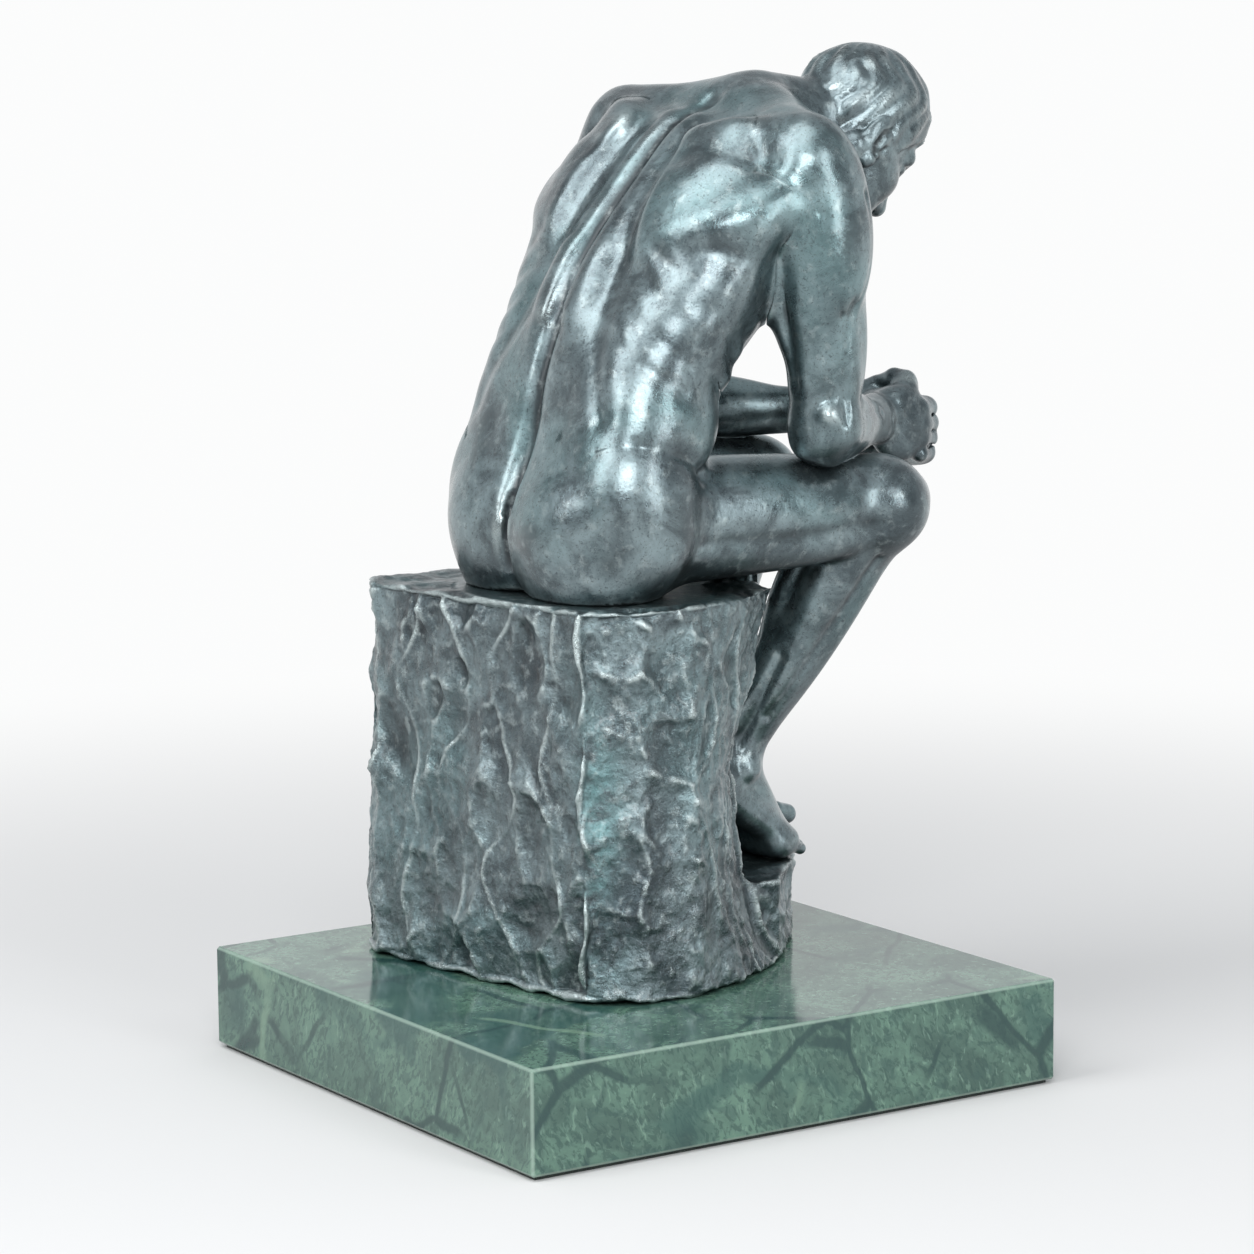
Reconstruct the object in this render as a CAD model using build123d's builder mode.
from build123d import *
import math
import os

# A seated figure in thought on a hewn rock and a polished stone plinth: a hollow bronze about 300 mm tall.
# The bronze is cast in sections, as foundries do with a figure of this size: trunk, head, arms, hands,
# legs and lap cloth, chased together at their seams, on a hollow rock that is open underneath.
# Two studs hold the figure down on the rock, and two longer ones hold the rock on the plinth.
# Millimetres. +Z is up, the figure faces -Y, and its right side is towards -X.
# The origin is on the surface that the statue stands on, under the middle of the plinth.

# Plinth and its felt
felt_thick = 1.2
felt_inset = 2.0
plinth_side = 180.0
plinth_thick = 30.0
plinth_edge = 0.8

# Rock casting
rock_width = 116.0
rock_depth = 98.0
rock_height = 113.0
rock_wall = 5.0
rock_x = 8.0
rock_y = 9.0
hew_radius = 22.0
hew_depth = 3.0
hew_rows = 5
hew_stagger = 0.25

# Figure castings
stature = 395.0
figure_x = 2.0
figure_y = 13.0
bronze_wall = 4.0
seat_base_thick = 14.0
finger_radius = 2.3
cloth_thick = 4.0
cloth_width = 22.0

# Studs, washers and nuts
stud_diameter = 6.0
stud_play = 0.05
hole_play = 0.5
stud_tip = 2.0
nut_flats = 10.0
nut_height = 5.0
washer_diameter = 18.0
washer_thick = 1.6
boss_radius = 8.0
boss_height = 18.0
pocket_play = 3.0
thread_depth = 11.0
base_stud_inset = 10.0
base_stud_y = 12.0
seat_stud_spread = 40.0
seat_stud_y = 6.0

# Heights that the stack gives
plinth_top = felt_thick + plinth_thick
seat_z = plinth_top + rock_height
stud_radius = stud_diameter / 2

# Proportions of the figure, as shares of its stature, measured from the middle of its seat
joint_shares = {
    "hip_right": (-0.053, 0.008, 0.052),
    "hip_left": (0.053, 0.008, 0.052),
    "knee_right": (-0.080, -0.214, 0.056),
    "knee_left": (0.088, -0.214, 0.058),
    "ankle_right": (-0.006, -0.130, -0.140),
    "ankle_left": (0.092, -0.140, -0.174),
    "shoulder_right": (-0.118, -0.130, 0.300),
    "shoulder_left": (0.120, -0.122, 0.306),
    "elbow_right": (-0.100, -0.150, 0.117),
    "elbow_left": (0.106, -0.144, 0.118),
    "wrist_right": (-0.016, -0.258, 0.112),
    "wrist_left": (0.034, -0.258, 0.114),
    "nape": (0.000, -0.162, 0.340),
    "head": (-0.004, -0.244, 0.332),
}
sole_drop_share = 0.220


def at(share_x, share_y, share_z):
    """A point of the figure, from shares of its stature."""
    return Vector(
        figure_x + stature * share_x,
        figure_y + stature * share_y,
        seat_z + stature * share_z,
    )


def joint(name):
    """One of the figure's joints."""
    return at(*joint_shares[name])


def oval(centre, normal, across, half_width, half_depth):
    """An elliptical section, its width along across."""
    with BuildSketch(Plane(origin=centre, x_dir=across, z_dir=normal)) as outline:
        Ellipse(half_width, half_depth)
    return outline.sketch


def limb_sections(start, end, across, station_shares, wall=0.0):
    """Sections square to the line from start to end, each station being the share of the way along,
    then half width, half depth and a shift along the depth, as shares of stature."""
    axis = (end - start).normalized()
    sideways = (across - axis * across.dot(axis)).normalized()
    deep = axis.cross(sideways)
    return [
        oval(
            start + (end - start) * along + deep * (stature * shift),
            axis,
            sideways,
            stature * half_width - wall,
            stature * half_depth - wall,
        )
        for along, half_width, half_depth, shift in station_shares
    ]


# The surface that the soles stand on is a ledge of the rock
ledge_top = seat_z - stature * sole_drop_share

# Corners of the rock seen from above, as shares of its half width and half depth
rock_corner_shares = [
    (-0.83, 0.67),
    (-0.99, 0.33),
    (-1.01, -0.06),
    (-0.88, -0.50),
    (-0.62, -0.98),
    (-0.04, -1.04),
    (0.64, -1.04),
    (0.98, -0.86),
    (1.03, -0.10),
    (1.00, 0.90),
    (0.78, 0.99),
    (0.02, 0.86),
]
# Share of the height, then how far the front reaches out and the share of the plan that is left there
rock_level_shares = [
    (0.00, 0.98, 1.000),
    (0.26, 0.68, 0.995),
    (0.55, 0.62, 0.975),
    (0.82, 0.80, 0.970),
    (1.00, 0.95, 0.955),
]
# Corners of the ledge under the feet
ledge_corner_shares = [
    (-0.62, -0.40),
    (-0.62, -0.94),
    (-0.16, -1.42),
    (0.20, -1.72),
    (0.76, -1.88),
    (0.98, -1.62),
    (1.01, -0.86),
    (0.96, -0.40),
]


def rock_outline(height_share, front_share, plan_share, inset=0.0):
    """The rock's outline at one height, drawn in by inset."""
    level = plinth_top + rock_height * height_share
    corners = [
        (
            rock_x + rock_width / 2 * x_share * plan_share,
            rock_y
            + rock_depth / 2 * y_share * (front_share if y_share < 0 else plan_share),
        )
        for x_share, y_share in rock_corner_shares
    ]
    with BuildSketch(Plane.XY.offset(level)) as outline:
        with BuildLine():
            Polyline(*corners, close=True)
        make_face()
        if inset:
            offset(amount=-inset, kind=Kind.INTERSECTION, mode=Mode.REPLACE)
    return outline.sketch


def ledge_outline(level, inset=0.0):
    """The outline of the ledge under the feet."""
    corners = [
        (rock_x + rock_width / 2 * x_share, rock_y + rock_depth / 2 * y_share)
        for x_share, y_share in ledge_corner_shares
    ]
    with BuildSketch(Plane.XY.offset(level)) as outline:
        with BuildLine():
            Polyline(*corners, close=True)
        make_face()
        if inset:
            offset(amount=-inset, kind=Kind.INTERSECTION, mode=Mode.REPLACE)
    return outline.sketch


# Where the studs stand
base_stud_reach = rock_width / 2 - base_stud_inset
base_studs = [
    (rock_x - base_stud_reach, base_stud_y),
    (rock_x + base_stud_reach, base_stud_y),
]
seat_studs = [
    (figure_x - seat_stud_spread / 2, figure_y + seat_stud_y),
    (figure_x + seat_stud_spread / 2, figure_y + seat_stud_y),
]
pocket_depth = washer_thick + nut_height + stud_tip + pocket_play
pocket_top = felt_thick + pocket_depth
rock_ceiling = seat_z - rock_wall

# Felt under the plinth
felt_side = plinth_side - 2 * felt_inset
with BuildPart() as felt_pad:
    Box(
        felt_side,
        felt_side,
        felt_thick,
        align=(Align.CENTER, Align.CENTER, Align.MIN),
    )

# Stone plinth, drilled for the studs and pocketed below for their washers and nuts
with BuildPart() as marble_plinth:
    with Locations((0, 0, felt_thick)):
        Box(
            plinth_side,
            plinth_side,
            plinth_thick,
            align=(Align.CENTER, Align.CENTER, Align.MIN),
        )
    chamfer(marble_plinth.edges(), plinth_edge)
    with Locations(*[(x, y, felt_thick) for x, y in base_studs]):
        Cylinder(
            stud_radius + hole_play,
            plinth_thick,
            align=(Align.CENTER, Align.CENTER, Align.MIN),
            mode=Mode.SUBTRACT,
        )
        Cylinder(
            washer_diameter / 2 + pocket_play,
            pocket_depth,
            align=(Align.CENTER, Align.CENTER, Align.MIN),
            mode=Mode.SUBTRACT,
        )


def hew_places():
    """Centres of the hollows that the chisel left, with the way out of the rock at each."""
    corners = [
        Vector(rock_width / 2 * x, rock_depth / 2 * y) for x, y in rock_corner_shares
    ]
    back_and_right = corners[9:] + corners[:4]
    for k, (a, b) in enumerate(zip(back_and_right, back_and_right[1:])):
        side = b - a
        columns = max(1, round(side.length / hew_radius))
        out = Vector(side.Y, -side.X).normalized()
        for column in range(columns):
            for row in range(hew_rows):
                stagger = hew_stagger if (column + k) % 2 else -hew_stagger
                height = rock_height * (row + 0.5 + stagger) / hew_rows
                point = a + side * ((column + 0.5) / columns)
                yield Vector(
                    rock_x + point.X, rock_y + point.Y, plinth_top + height
                ), out


# Rock casting: hewn outside, hollow, open below, with two tapped bosses for the plinth's studs
with BuildPart() as rock_block:
    loft([rock_outline(*shares) for shares in rock_level_shares], ruled=True)
    extrude(ledge_outline(plinth_top), amount=ledge_top - plinth_top)
    for hollow, out in hew_places():
        with Locations(hollow + out * (hew_radius - hew_depth)):
            Sphere(hew_radius, mode=Mode.SUBTRACT)
    cavity_levels = [
        (min(height, 1 - rock_wall / rock_height), front, plan)
        for height, front, plan in rock_level_shares
    ]
    loft(
        [rock_outline(*shares, inset=rock_wall) for shares in cavity_levels],
        ruled=True,
        mode=Mode.SUBTRACT,
    )
    extrude(
        ledge_outline(plinth_top, inset=rock_wall),
        amount=ledge_top - plinth_top - rock_wall,
        mode=Mode.SUBTRACT,
    )
    with Locations(*[(x, y, plinth_top) for x, y in base_studs]):
        Cylinder(
            boss_radius,
            boss_height,
            align=(Align.CENTER, Align.CENTER, Align.MIN),
        )
        Cylinder(
            stud_radius + stud_play,
            thread_depth + stud_tip,
            align=(Align.CENTER, Align.CENTER, Align.MIN),
            mode=Mode.SUBTRACT,
        )
    with Locations(*[(x, y, rock_ceiling) for x, y in seat_studs]):
        Cylinder(
            stud_radius + hole_play,
            rock_wall,
            align=(Align.CENTER, Align.CENTER, Align.MIN),
            mode=Mode.SUBTRACT,
        )

# Legs: thigh, shank and foot in one casting
thigh_shares = [
    (0.00, 0.049, 0.048, 0.000),
    (0.25, 0.050, 0.047, 0.000),
    (0.50, 0.046, 0.043, 0.000),
    (0.75, 0.038, 0.036, 0.000),
    (0.93, 0.034, 0.034, 0.000),
    (1.06, 0.028, 0.028, 0.000),
    (1.12, 0.014, 0.014, 0.000),
]
shank_shares = [
    (-0.12, 0.018, 0.018, 0.000),
    (0.00, 0.031, 0.033, 0.000),
    (0.14, 0.029, 0.031, 0.000),
    (0.32, 0.030, 0.034, 0.004),
    (0.52, 0.026, 0.028, 0.004),
    (0.78, 0.017, 0.019, 0.000),
    (1.00, 0.017, 0.018, 0.000),
]
thigh_hollow_shares = [
    (-0.02, 0.049, 0.048, 0.000),
    (0.25, 0.050, 0.047, 0.000),
    (0.50, 0.046, 0.043, 0.000),
    (0.75, 0.038, 0.036, 0.000),
    (0.90, 0.028, 0.028, 0.000),
]
# Along the foot from the ankle, half width, half height and height of the middle over the sole
foot_shares = [
    (-0.036, 0.010, 0.012, 0.016),
    (-0.024, 0.018, 0.022, 0.020),
    (0.002, 0.020, 0.028, 0.024),
    (0.036, 0.022, 0.020, 0.018),
    (0.070, 0.026, 0.013, 0.011),
    (0.094, 0.025, 0.010, 0.008),
    (0.110, 0.018, 0.007, 0.006),
]
ball_share = 0.075
steepest_share = 0.9
heel_drop_share = 0.5
foot_turn = {"right": 12.0, "left": 8.0}


def foot_sections(side):
    """Sections of a foot from its heel to its toes, the heel lifted where the ankle is high."""
    ankle = joint(f"ankle_{side}")
    turn = math.radians(foot_turn[side])
    ahead = Vector(math.sin(turn), -math.cos(turn), 0)
    across = Vector(math.cos(turn), math.sin(turn), 0)
    flat_ankle = seat_z + stature * joint_shares["ankle_left"][2]
    lift = ankle.Z - flat_ankle
    # A lifted heel tilts the foot about its ball, and shortens its reach along the ground
    pitch = math.asin(min(steepest_share, lift / (stature * ball_share)))
    sections = []
    for along, half_width, half_height, middle in foot_shares:
        drop = heel_drop_share if along < 0 else 1.0
        rise = max(0.0, lift - stature * along * math.sin(pitch) * drop)
        place = Vector(ankle.X, ankle.Y, ledge_top)
        place += ahead * (stature * along * math.cos(pitch))
        place += Vector(0, 0, stature * middle + rise)
        sections.append(
            oval(place, ahead, across, stature * half_width, stature * half_height)
        )
    return sections


def leg_casting(side):
    """One leg, its thigh hollow and its sole flat on the ledge."""
    hip, knee, ankle = (joint(f"{place}_{side}") for place in ("hip", "knee", "ankle"))
    with BuildPart() as casting:
        loft(limb_sections(hip, knee, Vector(1, 0, 0), thigh_shares))
        loft(limb_sections(knee, ankle, Vector(1, 0, 0), shank_shares))
        loft(foot_sections(side))
        split(bisect_by=Plane.XY.offset(ledge_top), keep=Keep.TOP)
        loft(
            limb_sections(
                hip, knee, Vector(1, 0, 0), thigh_hollow_shares, wall=bronze_wall
            ),
            mode=Mode.SUBTRACT,
        )
    return casting.part


with BuildPart() as right_leg:
    add(leg_casting("right"))

with BuildPart() as left_leg:
    add(leg_casting("left"))

# Arms: an upper arm and a forearm in one casting, resting on the thigh
upper_arm_shares = [
    (-0.10, 0.020, 0.022, 0.000),
    (0.04, 0.036, 0.040, 0.000),
    (0.22, 0.035, 0.040, 0.000),
    (0.50, 0.027, 0.033, 0.000),
    (0.78, 0.023, 0.028, 0.000),
    (0.96, 0.022, 0.025, 0.000),
    (1.10, 0.012, 0.013, 0.000),
]
forearm_shares = [
    (-0.10, 0.014, 0.014, 0.000),
    (0.05, 0.022, 0.022, 0.000),
    (0.28, 0.024, 0.025, 0.000),
    (0.60, 0.019, 0.019, 0.000),
    (1.00, 0.015, 0.012, 0.000),
]


def arm_casting(side):
    """One arm from the shoulder to the wrist."""
    shoulder, elbow, wrist = (
        joint(f"{place}_{side}") for place in ("shoulder", "elbow", "wrist")
    )
    with BuildPart() as casting:
        loft(limb_sections(shoulder, elbow, Vector(1, 0, 0), upper_arm_shares))
        loft(limb_sections(elbow, wrist, Vector(0, 0, 1), forearm_shares))
    return casting.part


with BuildPart() as right_arm:
    add(arm_casting("right"))
    add(right_leg.part, mode=Mode.SUBTRACT)

with BuildPart() as left_arm:
    add(arm_casting("left"))
    add(left_leg.part, mode=Mode.SUBTRACT)

# Trunk: height over the seat, distance behind it, half width, half depth and lean in degrees
trunk_shares = [
    (0.000, 0.005, 0.108, 0.056, 0.0),
    (0.035, 0.007, 0.120, 0.066, 0.0),
    (0.080, 0.002, 0.118, 0.062, 4.0),
    (0.127, -0.018, 0.109, 0.058, 13.0),
    (0.176, -0.038, 0.111, 0.061, 24.0),
    (0.225, -0.066, 0.124, 0.067, 35.0),
    (0.272, -0.102, 0.132, 0.060, 48.0),
    (0.312, -0.134, 0.108, 0.044, 57.0),
    (0.340, -0.162, 0.044, 0.034, 64.0),
]


def trunk_sections(stations, wall=0.0):
    """Sections across the trunk, leaning forward more and more towards the neck."""
    sections = []
    for height, behind, half_width, half_depth, lean in stations:
        tilt = math.radians(lean)
        sections.append(
            oval(
                at(0, behind, height),
                Vector(0, -math.sin(tilt), math.cos(tilt)),
                Vector(1, 0, 0),
                stature * half_width - wall,
                stature * half_depth - wall,
            )
        )
    return sections


# Bronze trunk from the seat to the neck, hollow over a thick seat that is tapped for the studs
seat_base_share = seat_base_thick / stature
hollow_shares = [
    (max(height, seat_base_share), *rest) for height, *rest in trunk_shares[1:]
]
with BuildPart() as trunk:
    loft(trunk_sections(trunk_shares))
    loft(trunk_sections(hollow_shares, wall=bronze_wall), mode=Mode.SUBTRACT)
    for limb in (right_leg, left_leg, right_arm, left_arm):
        add(limb.part, mode=Mode.SUBTRACT)
    with Locations(*[(x, y, seat_z) for x, y in seat_studs]):
        Cylinder(
            stud_radius + stud_play,
            thread_depth,
            align=(Align.CENTER, Align.CENTER, Align.MIN),
            mode=Mode.SUBTRACT,
        )

# Head and neck: along the head from chin to crown, then forward of its middle, half width, half depth
head_shares = [
    (-0.070, 0.029, 0.013, 0.012),
    (-0.060, 0.022, 0.024, 0.027),
    (-0.038, 0.009, 0.036, 0.048),
    (-0.011, 0.002, 0.043, 0.057),
    (0.013, 0.000, 0.046, 0.061),
    (0.036, -0.002, 0.044, 0.057),
    (0.054, -0.004, 0.032, 0.042),
    (0.064, -0.005, 0.015, 0.020),
]
head_bow = 46.0
neck_shares = [
    (0.00, 0.034, 0.032, 0.000),
    (0.45, 0.030, 0.030, 0.000),
    (0.90, 0.031, 0.034, 0.000),
]


def head_sections(wall=0.0):
    """Sections across the bowed head from its chin to its crown."""
    bow = math.radians(head_bow)
    up = Vector(0, -math.sin(bow), math.cos(bow))
    ahead = Vector(0, -math.cos(bow), -math.sin(bow))
    stations = head_shares[2:-2] if wall else head_shares
    return [
        oval(
            joint("head") + up * (stature * along) + ahead * (stature * forward),
            up,
            Vector(1, 0, 0),
            stature * half_width - wall,
            stature * half_depth - wall,
        )
        for along, forward, half_width, half_depth in stations
    ]


nape_tilt = math.radians(trunk_shares[-1][4])
nape_normal = Vector(0, -math.sin(nape_tilt), math.cos(nape_tilt))


def neck_sections(wall=0.0):
    """Sections of the neck, from the flat seam at the nape to the middle of the head."""
    nape, middle = joint("nape"), joint("head")
    sections = []
    for along, half_width, half_depth, _ in neck_shares:
        sections.append(
            oval(
                nape + (middle - nape) * along,
                nape_normal,
                Vector(1, 0, 0),
                stature * half_width - wall,
                stature * half_depth - wall,
            )
        )
    return sections


with BuildPart() as head:
    loft(head_sections())
    loft(neck_sections())
    split(bisect_by=Plane(origin=joint("nape"), z_dir=nape_normal), keep=Keep.TOP)
    loft(head_sections(wall=bronze_wall), mode=Mode.SUBTRACT)
    loft(neck_sections(wall=bronze_wall), mode=Mode.SUBTRACT)

# Hands: the left one is closed, and the right one is laid round it
fist_shares = [
    (0.00, 0.012, 0.014, 0.000),
    (0.25, 0.019, 0.016, 0.000),
    (0.60, 0.023, 0.019, 0.000),
    (0.95, 0.023, 0.018, 0.000),
    (1.15, 0.014, 0.010, 0.000),
]
palm_shares = [
    (0.00, 0.012, 0.014, 0.000),
    (0.35, 0.021, 0.011, 0.000),
    (0.80, 0.024, 0.010, 0.000),
    (1.05, 0.022, 0.008, 0.000),
]
fist_end_shares = (0.014, -0.300, 0.100)
palm_end_shares = (-0.018, -0.300, 0.100)
finger_path_shares = [
    (-0.018, -0.298),
    (-0.008, -0.320),
    (0.026, -0.320),
    (0.040, -0.296),
    (0.038, -0.276),
]
finger_bend_share = 0.011
finger_top_share = 0.117
finger_pitch_share = 0.0115
finger_count = 4

with BuildPart() as left_hand:
    loft(
        limb_sections(
            joint("wrist_left"), at(*fist_end_shares), Vector(0, 0, 1), fist_shares
        )
    )
    add(left_arm.part, mode=Mode.SUBTRACT)

with BuildPart() as right_hand:
    loft(
        limb_sections(
            joint("wrist_right"), at(*palm_end_shares), Vector(0, 0, 1), palm_shares
        )
    )
    for finger in range(finger_count):
        level = finger_top_share - finger_pitch_share * finger
        with BuildLine() as path:
            FilletPolyline(
                *[at(x, y, level) for x, y in finger_path_shares],
                radius=stature * finger_bend_share,
            )
        with BuildSketch(Plane(origin=path.line @ 0, z_dir=path.line % 0)):
            Circle(finger_radius)
        sweep(path=path.line)
    add(left_hand.part, mode=Mode.SUBTRACT)
    add(right_arm.part, mode=Mode.SUBTRACT)

# Cloth over the lap: its middle line from the belly down between the thighs, then over the rock's front
cloth_belly_shares = [
    (-0.063, 0.104),
    (-0.087, 0.098),
    (-0.112, 0.066),
]
rock_front_share = -min(y_share for _, y_share in rock_corner_shares)
rock_front = rock_y - rock_depth / 2 * rock_front_share * rock_level_shares[-1][1]
cloth_over_rock = 9.5
cloth_below_edge = 8.0
cloth_line = [
    (figure_y + stature * y_share, seat_z + stature * z_share)
    for y_share, z_share in cloth_belly_shares
]
cloth_line += [
    (rock_front, seat_z + cloth_over_rock),
    (rock_front - cloth_thick / 2, seat_z - cloth_below_edge),
]
with BuildPart() as lap_cloth:
    with BuildSketch(Plane.YZ.offset(figure_x)):
        with BuildLine():
            Spline(*cloth_line)
        trace(line_width=cloth_thick)
    extrude(amount=cloth_width / 2, both=True)
    for other in (trunk, right_leg, left_leg, right_arm, left_arm, rock_block):
        add(other.part, mode=Mode.SUBTRACT)


def stud(x, y, bottom, top):
    """A threaded stud as a plain rod."""
    with BuildPart() as rod:
        with Locations((x, y, bottom)):
            Cylinder(
                stud_radius, top - bottom, align=(Align.CENTER, Align.CENTER, Align.MIN)
            )
    return rod


def washer(x, y, bottom):
    """A wide flat washer."""
    with BuildPart() as ring:
        with Locations((x, y, bottom)):
            Cylinder(
                washer_diameter / 2,
                washer_thick,
                align=(Align.CENTER, Align.CENTER, Align.MIN),
            )
            Cylinder(
                stud_radius + hole_play,
                washer_thick,
                align=(Align.CENTER, Align.CENTER, Align.MIN),
                mode=Mode.SUBTRACT,
            )
    return ring


def nut(x, y, bottom):
    """A hexagon nut."""
    with BuildPart() as hexagon:
        with BuildSketch(Plane.XY.offset(bottom)):
            with Locations((x, y)):
                RegularPolygon(nut_flats / 2, 6, major_radius=False)
                Circle(stud_radius + stud_play, mode=Mode.SUBTRACT)
        extrude(amount=nut_height)
    return hexagon


pieces = {
    "felt_pad": felt_pad,
    "marble_plinth": marble_plinth,
    "rock_block": rock_block,
    "trunk": trunk,
    "head": head,
    "right_arm": right_arm,
    "left_arm": left_arm,
    "right_hand": right_hand,
    "left_hand": left_hand,
    "right_leg": right_leg,
    "left_leg": left_leg,
    "lap_cloth": lap_cloth,
}
for side, (x, y) in zip(("right", "left"), base_studs):
    nut_bottom = pocket_top - washer_thick - nut_height
    pieces[f"base_stud_{side}"] = stud(
        x, y, nut_bottom - stud_tip, plinth_top + thread_depth
    )
    pieces[f"base_washer_{side}"] = washer(x, y, pocket_top - washer_thick)
    pieces[f"base_nut_{side}"] = nut(x, y, nut_bottom)
for side, (x, y) in zip(("right", "left"), seat_studs):
    nut_bottom = rock_ceiling - washer_thick - nut_height
    pieces[f"seat_stud_{side}"] = stud(
        x, y, nut_bottom - stud_tip, seat_z + thread_depth - stud_tip
    )
    pieces[f"seat_washer_{side}"] = washer(x, y, rock_ceiling - washer_thick)
    pieces[f"seat_nut_{side}"] = nut(x, y, nut_bottom)

os.makedirs("parts", exist_ok=True)
for name, piece in pieces.items():
    piece.part.label = name
    export_step(piece.part, f"parts/{name}.step")
